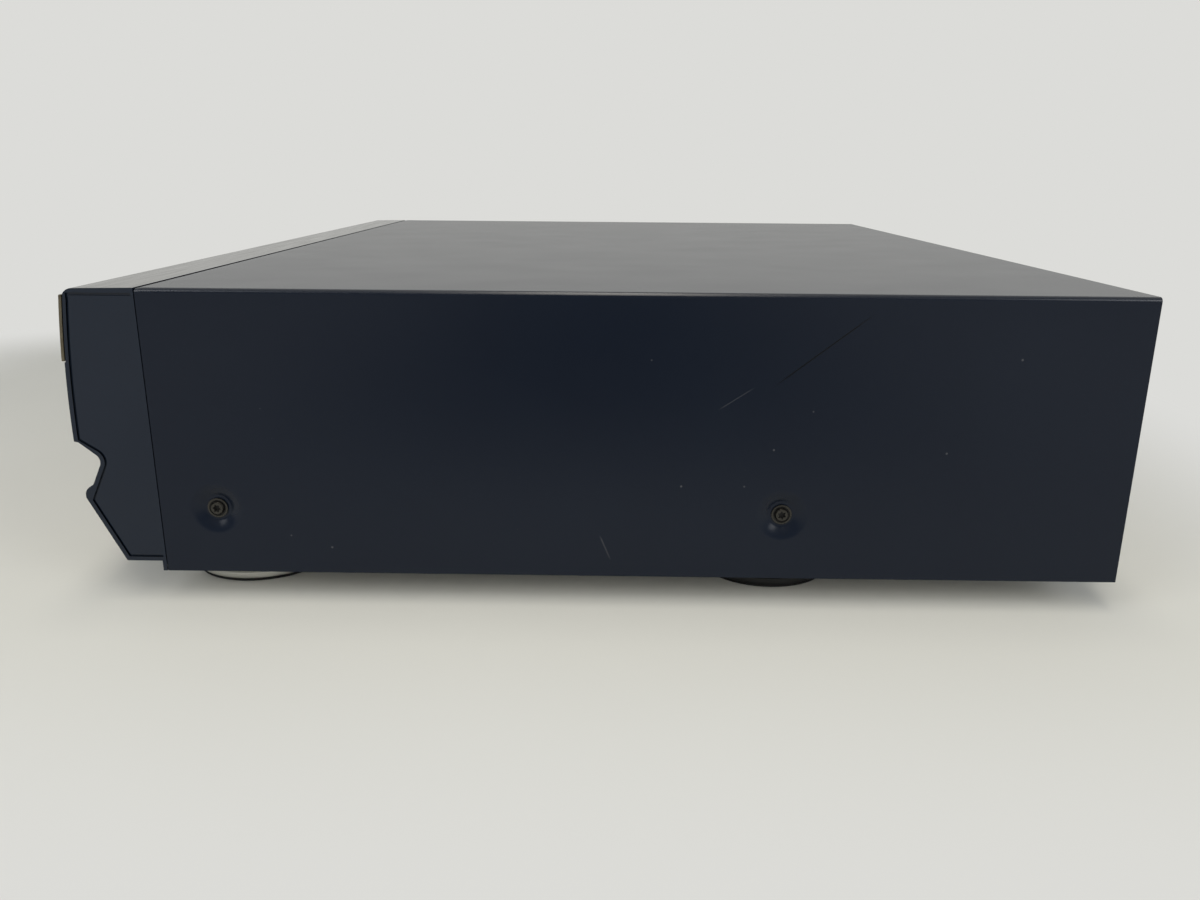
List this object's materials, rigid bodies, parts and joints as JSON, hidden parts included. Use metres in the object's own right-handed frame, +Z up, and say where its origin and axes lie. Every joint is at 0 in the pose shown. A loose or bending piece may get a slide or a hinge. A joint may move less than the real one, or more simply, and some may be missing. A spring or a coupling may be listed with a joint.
{
  "type": "carousel cd changer",
  "caption": "Wide flat disc player on round feet: a full-width drawer slides out with a turning carousel of disc wells, over a lifting pick-up unit.",
  "frame": {"origin": "middle of the bounding box, on the plane that the feet stand on", "axes": "+Z up, the front with the drawer faces -Y, +X is the viewer's right when facing the front"},
  "size_m": [0.44, 0.387, 0.114],
  "materials": {
    "cover_paint": "satin blue-black paint on steel",
    "zinc_sheet": "zinc-plated sheet steel",
    "screw_zinc": "dull plated steel",
    "fascia_plastic": "fine-grained dark moulded plastic",
    "window_acrylic": "smoked acrylic",
    "board_laminate": "green board laminate",
    "foot_silver": "turned silver metal",
    "foot_black": "black moulded plastic",
    "pad_rubber": "black rubber",
    "key_plastic": "dark satin plastic",
    "strip_bronze": "bronze anodised aluminium",
    "mech_plastic": "black moulded plastic",
    "steel_rod": "ground steel",
    "motor_can": "plated motor case",
    "gear_plastic": "white acetal",
    "brass_metal": "turned brass",
    "black_plastic": "black moulded plastic",
    "transformer_iron": "varnished laminations"
  },
  "bodies": {
    "cabinet": {"bottom_chassis": "zinc_sheet", "rear_panel": "zinc_sheet", "top_cover": "cover_paint", "cover_side_screws": "screw_zinc", "rear_screws": "screw_zinc", "front_fascia": "fascia_plastic", "display_window": "window_acrylic", "display_module": "window_acrylic", "front_board": "board_laminate", "front_feet": "foot_silver", "rear_feet": "foot_black", "foot_pads": "pad_rubber", "foot_screws": "screw_zinc", "headphone_jack": "black_plastic", "mech_base": "mech_plastic", "drawer_motor": "motor_can", "drawer_belt": "pad_rubber", "clamp_bridge": "zinc_sheet", "pickup_pin": "steel_rod", "lift_motor": "motor_can", "circuit_boards": "board_laminate", "board_parts": "black_plastic", "transformer": "transformer_iron", "phono_jacks": "black_plastic", "mains_inlet": "black_plastic"},
    "drawer": {"drawer_front": "strip_bronze", "drawer_tray": "mech_plastic", "carousel_cap": "steel_rod", "carousel_motor": "motor_can", "carousel_belt": "pad_rubber"},
    "carousel": {"carousel": "mech_plastic"},
    "carousel_motor_pulley": {"carousel_motor_pulley": "brass_metal"},
    "carousel_pulley_gear": {"carousel_pulley_gear": "gear_plastic"},
    "drawer_motor_pulley": {"drawer_motor_pulley": "brass_metal"},
    "drawer_pulley_gear": {"drawer_pulley_gear": "gear_plastic"},
    "drawer_pinion_gear": {"drawer_pinion_gear": "gear_plastic"},
    "clamper": {"clamper": "gear_plastic"},
    "pickup": {"pickup_frame": "mech_plastic", "spindle_motor": "motor_can", "sled_rods": "steel_rod"},
    "disc_table": {"disc_table": "mech_plastic"},
    "sled": {"optical_sled": "motor_can", "objective_lens": "window_acrylic"},
    "sled_gear": {"sled_gear": "gear_plastic"},
    "cam_slider": {"cam_slider": "gear_plastic"},
    "lift_pinion": {"lift_pinion": "brass_metal"},
    "level_knob": {"level_knob": "key_plastic"},
    "power_button": {"power_button": "key_plastic"},
    "open_close_button": {"open_close_button": "key_plastic"},
    "disc_skip_button": {"disc_skip_button": "key_plastic"},
    "disc_button_1": {"disc_button_1": "key_plastic"},
    "disc_button_2": {"disc_button_2": "key_plastic"},
    "disc_button_3": {"disc_button_3": "key_plastic"},
    "disc_button_4": {"disc_button_4": "key_plastic"},
    "disc_button_5": {"disc_button_5": "key_plastic"},
    "play_button": {"play_button": "key_plastic"},
    "pause_button": {"pause_button": "key_plastic"},
    "stop_button": {"stop_button": "key_plastic"},
    "skip_back_button": {"skip_back_button": "key_plastic"},
    "skip_forward_button": {"skip_forward_button": "key_plastic"}
  },
  "joints": [
    {"name": "drawer_slide", "type": "slide", "parent": "cabinet", "child": "drawer", "axis": [0, -1, 0], "range_m": [0, 0.235]},
    {"name": "carousel_spin", "type": "hinge", "parent": "drawer", "child": "carousel", "pos_m": [0, -0.0065, 0.1015], "axis": [0, 0, 1], "continuous": true},
    {"name": "carousel_pulley_spin", "type": "hinge", "parent": "drawer", "child": "carousel_pulley_gear", "pos_m": [-0.03687, -0.04188, 0.0935], "axis": [0, 0, 1], "continuous": true},
    {"name": "carousel_motor_spin", "type": "hinge", "parent": "drawer", "child": "carousel_motor_pulley", "pos_m": [-0.148, -0.1485, 0.0935], "axis": [0, 0, 1], "continuous": true},
    {"name": "drawer_pinion_spin", "type": "hinge", "parent": "cabinet", "child": "drawer_pinion_gear", "pos_m": [0.1984, -0.1305, 0.091], "axis": [0, 0, 1], "continuous": true},
    {"name": "drawer_pulley_spin", "type": "hinge", "parent": "cabinet", "child": "drawer_pulley_gear", "pos_m": [0.1984, -0.1104, 0.091], "axis": [0, 0, 1], "continuous": true},
    {"name": "drawer_motor_spin", "type": "hinge", "parent": "cabinet", "child": "drawer_motor_pulley", "pos_m": [0.1984, -0.0584, 0.091], "axis": [0, 0, 1], "continuous": true},
    {"name": "clamper_spin", "type": "hinge", "parent": "cabinet", "child": "clamper", "pos_m": [0, 0.098, 0.11], "axis": [0, 0, 1], "continuous": true},
    {"name": "cam_slide", "type": "slide", "parent": "cabinet", "child": "cam_slider", "axis": [1, 0, 0], "range_m": [0, 0.04]},
    {"name": "pickup_lift", "type": "hinge", "parent": "cabinet", "child": "pickup", "pos_m": [0, 0.1745, 0.086], "axis": [-1, 0, 0], "range_deg": [0, 8.27]},
    {"name": "lift_pinion_spin", "type": "hinge", "parent": "cabinet", "child": "lift_pinion", "pos_m": [0.045, 0.06961, 0.086], "axis": [0, 0, 1], "continuous": true},
    {"name": "disc_table_spin", "type": "hinge", "parent": "pickup", "child": "disc_table", "pos_m": [0, 0.09608, 0.0937], "axis": [0, -0.1438, 0.9896], "continuous": true},
    {"name": "sled_slide", "type": "slide", "parent": "pickup", "child": "sled", "axis": [0, 0.9896, 0.1438], "range_m": [0, 0.035]},
    {"name": "sled_gear_spin", "type": "hinge", "parent": "pickup", "child": "sled_gear", "pos_m": [-0.0251, 0.13048, 0.07607], "axis": [0, -0.1438, 0.9896], "continuous": true},
    {"name": "level_turn", "type": "hinge", "parent": "cabinet", "child": "level_knob", "pos_m": [-0.131, -0.1935, 0.07435], "axis": [0, -1, 0], "range_deg": [0, 300]},
    {"name": "power_press", "type": "slide", "parent": "cabinet", "child": "power_button", "axis": [0, 1, 0], "range_m": [0, 0.0012], "stiffness_N_per_m": 400, "springref_m": -0.0005},
    {"name": "open_close_press", "type": "slide", "parent": "cabinet", "child": "open_close_button", "axis": [0, 1, 0], "range_m": [0, 0.0012], "stiffness_N_per_m": 400, "springref_m": -0.0005},
    {"name": "disc_skip_press", "type": "slide", "parent": "cabinet", "child": "disc_skip_button", "axis": [0, 1, 0], "range_m": [0, 0.0012], "stiffness_N_per_m": 400, "springref_m": -0.0005},
    {"name": "disc_button_1_press", "type": "slide", "parent": "cabinet", "child": "disc_button_1", "axis": [0, 1, 0], "range_m": [0, 0.0012], "stiffness_N_per_m": 400, "springref_m": -0.0005},
    {"name": "disc_button_2_press", "type": "slide", "parent": "cabinet", "child": "disc_button_2", "axis": [0, 1, 0], "range_m": [0, 0.0012], "stiffness_N_per_m": 400, "springref_m": -0.0005},
    {"name": "disc_button_3_press", "type": "slide", "parent": "cabinet", "child": "disc_button_3", "axis": [0, 1, 0], "range_m": [0, 0.0012], "stiffness_N_per_m": 400, "springref_m": -0.0005},
    {"name": "disc_button_4_press", "type": "slide", "parent": "cabinet", "child": "disc_button_4", "axis": [0, 1, 0], "range_m": [0, 0.0012], "stiffness_N_per_m": 400, "springref_m": -0.0005},
    {"name": "disc_button_5_press", "type": "slide", "parent": "cabinet", "child": "disc_button_5", "axis": [0, 1, 0], "range_m": [0, 0.0012], "stiffness_N_per_m": 400, "springref_m": -0.0005},
    {"name": "play_press", "type": "slide", "parent": "cabinet", "child": "play_button", "axis": [0, 1, 0], "range_m": [0, 0.0012], "stiffness_N_per_m": 400, "springref_m": -0.0005},
    {"name": "pause_press", "type": "slide", "parent": "cabinet", "child": "pause_button", "axis": [0, 1, 0], "range_m": [0, 0.0012], "stiffness_N_per_m": 400, "springref_m": -0.0005},
    {"name": "stop_press", "type": "slide", "parent": "cabinet", "child": "stop_button", "axis": [0, 1, 0], "range_m": [0, 0.0012], "stiffness_N_per_m": 400, "springref_m": -0.0005},
    {"name": "skip_back_press", "type": "slide", "parent": "cabinet", "child": "skip_back_button", "axis": [0, 1, 0], "range_m": [0, 0.0012], "stiffness_N_per_m": 400, "springref_m": -0.0005},
    {"name": "skip_forward_press", "type": "slide", "parent": "cabinet", "child": "skip_forward_button", "axis": [0, 1, 0], "range_m": [0, 0.0012], "stiffness_N_per_m": 400, "springref_m": -0.0005}
  ],
  "couplings": [
    {"joint": "drawer_pinion_spin", "follows": "drawer_slide", "rad_per_m": 83.333},
    {"joint": "drawer_pulley_spin", "follows": "drawer_slide", "rad_per_m": -154.76},
    {"joint": "drawer_motor_spin", "follows": "drawer_slide", "rad_per_m": -425.6},
    {"joint": "carousel_pulley_spin", "follows": "carousel_spin", "ratio": -3.8571},
    {"joint": "carousel_motor_spin", "follows": "carousel_spin", "ratio": -13.5},
    {"joint": "pickup_lift", "follows": "cam_slide", "rad_per_m": 3.6073},
    {"joint": "lift_pinion_spin", "follows": "cam_slide", "rad_per_m": 142.86},
    {"joint": "sled_gear_spin", "follows": "sled_slide", "rad_per_m": 142.86}
  ]
}
